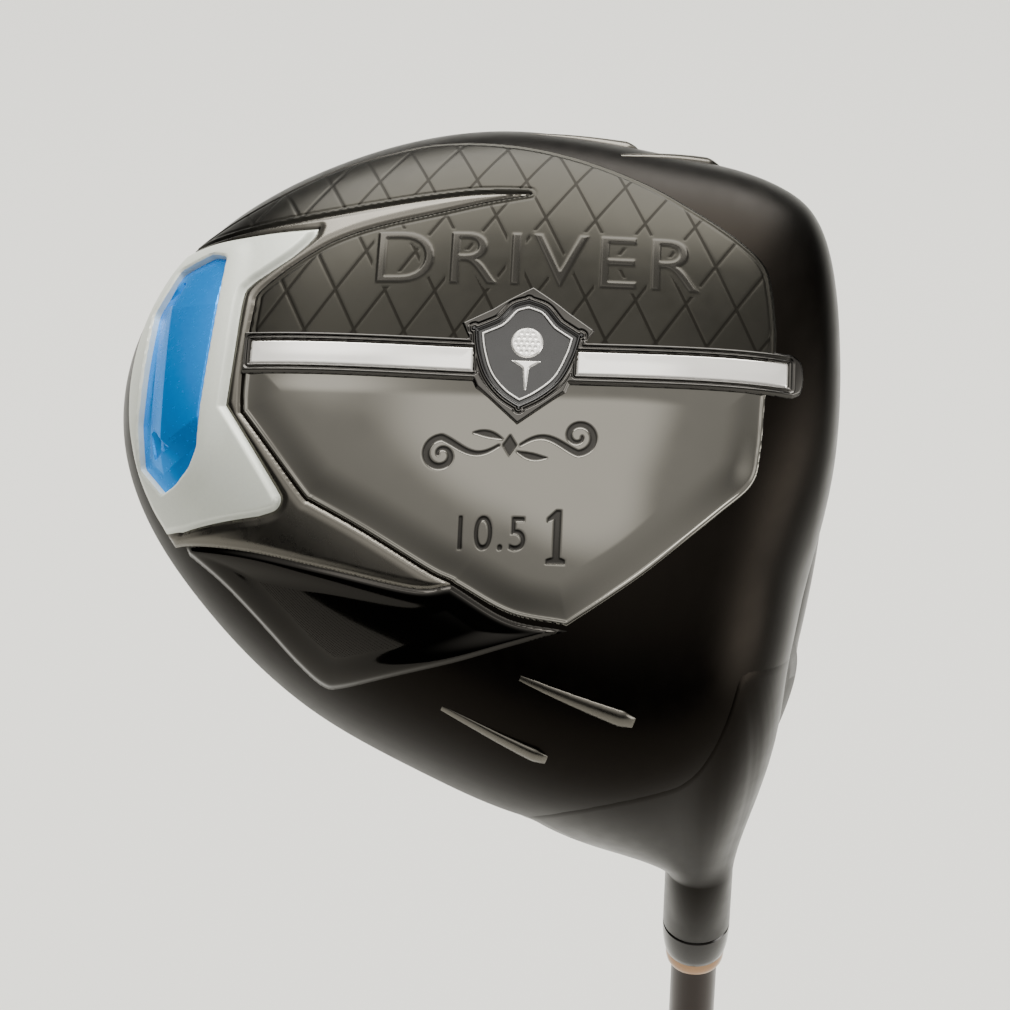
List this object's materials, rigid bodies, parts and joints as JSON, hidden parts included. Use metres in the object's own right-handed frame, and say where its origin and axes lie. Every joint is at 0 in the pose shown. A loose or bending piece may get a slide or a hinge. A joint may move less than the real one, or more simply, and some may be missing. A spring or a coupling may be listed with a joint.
{
  "type": "golf driver",
  "caption": "Golf driver: hollow metal head with trim plates on its sole, bonded hosel and ferrule, tapering tubular shaft and tapered rubber grip.",
  "frame": {"origin": "centre of the grip cap's end face, on the shaft axis", "axes": "+Z along the shaft axis from the grip towards the head, +X the way the face looks, so the heel to toe direction lies in the YZ plane"},
  "size_m": [0.121, 0.1063, 1.1952],
  "materials": {
    "satin_black": "satin black ion-plated metal",
    "crown_black": "gloss black lacquer",
    "face_metal": "dark brushed titanium",
    "gloss_black": "polished black chrome",
    "pearl_white": "silver white satin",
    "metal_blue": "metallic blue anodised",
    "bright_chrome": "polished chrome",
    "ferrule_plastic": "polished black celluloid",
    "bronze_ring": "dark bronze metal",
    "shaft_black": "clear-coated graphite",
    "plug_brass": "turned brass",
    "tape": "paper tape",
    "grip_rubber": "matt rubber"
  },
  "bodies": {
    "root": {"sole_body": "satin_black", "crown_shell": "crown_black", "face_cup": "face_metal", "hosel_neck": "satin_black", "toe_plate": "satin_black", "heel_plate": "gloss_black", "heel_wedge": "gloss_black", "wing_frame": "satin_black", "rear_bezel": "pearl_white", "rear_weight": "metal_blue", "rear_bar_inlay": "bright_chrome", "front_bar_inlay": "bright_chrome", "badge_plate": "gloss_black", "badge_device": "bright_chrome", "ferrule": "ferrule_plastic", "ferrule_ring": "bronze_ring", "shaft": "shaft_black", "swing_weight_plug": "plug_brass", "grip_tape": "tape", "grip_sleeve": "grip_rubber", "grip_cap": "grip_rubber"}
  },
  "joints": []
}
